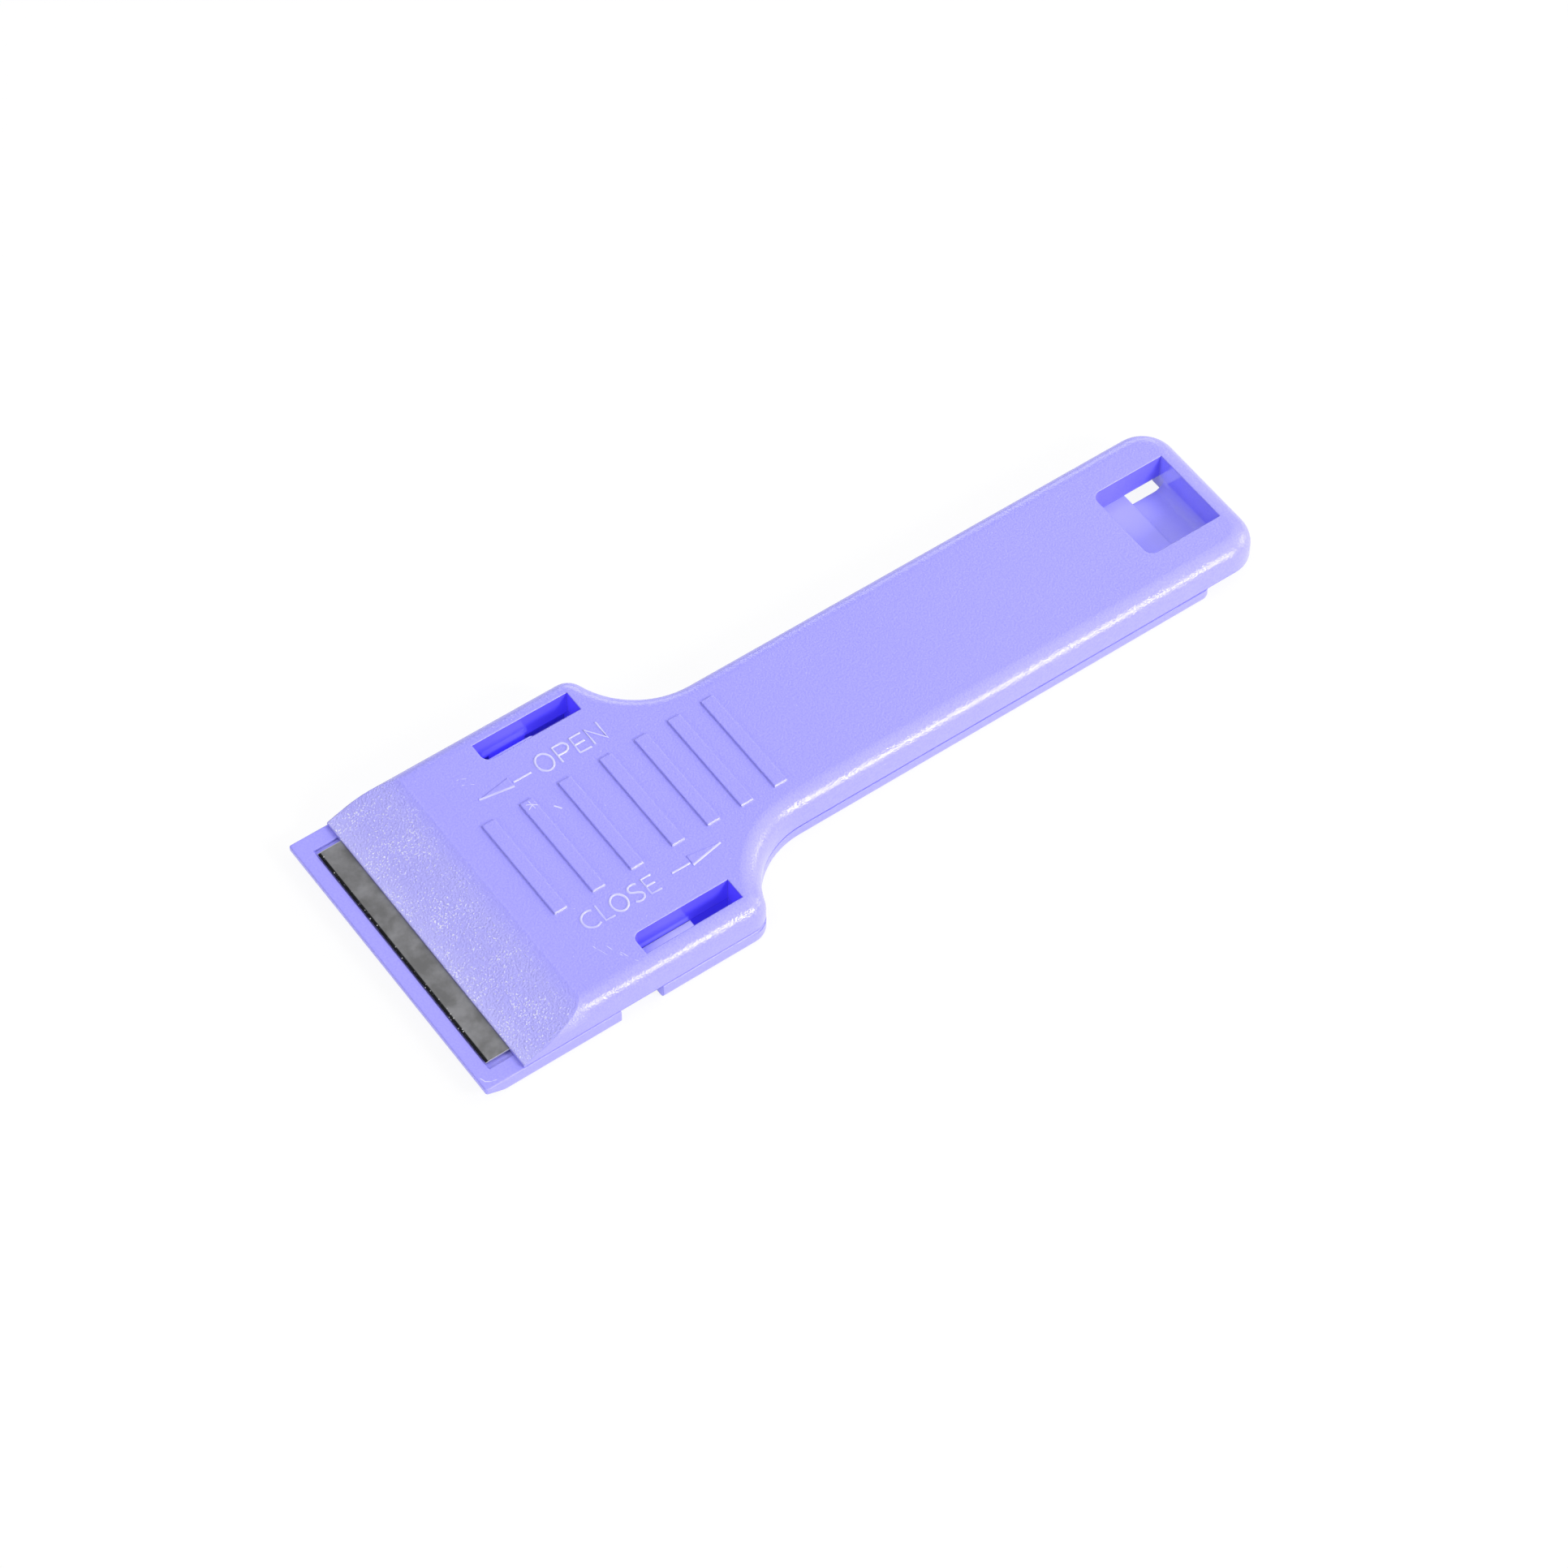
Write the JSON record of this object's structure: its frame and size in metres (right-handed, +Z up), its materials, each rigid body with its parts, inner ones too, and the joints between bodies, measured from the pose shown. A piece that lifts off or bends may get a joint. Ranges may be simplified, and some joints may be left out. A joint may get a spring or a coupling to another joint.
{
  "type": "ceramic hob scraper",
  "caption": "Flat plastic hob scraper with a sliding ribbed top that carries a single-edge blade past a guard lip on the lower half.",
  "frame": {"origin": "middle of the length and width, on the face that the scraper rests on, with the blade drawn back behind the lip", "axes": "+X from the blade end to the tail, +Y to the left side seen from the blade end looking along +X, +Z up"},
  "size_m": [0.1298, 0.0452, 0.007],
  "materials": {
    "moulded_plastic": "satin moulded, periwinkle, with a coarse pebble on the ramp",
    "blade_steel": "dark rolled strip steel with a ground edge",
    "spine_steel": "plain folded steel strip"
  },
  "bodies": {
    "base": {"base_guard": "moulded_plastic"},
    "slider": {"top_shell": "moulded_plastic", "razor_blade": "blade_steel", "blade_spine": "spine_steel"}
  },
  "joints": [
    {"name": "shell_slide", "type": "slide", "parent": "base", "child": "slider", "axis": [-1, 0, 0], "range_m": [0, 0.005]}
  ]
}
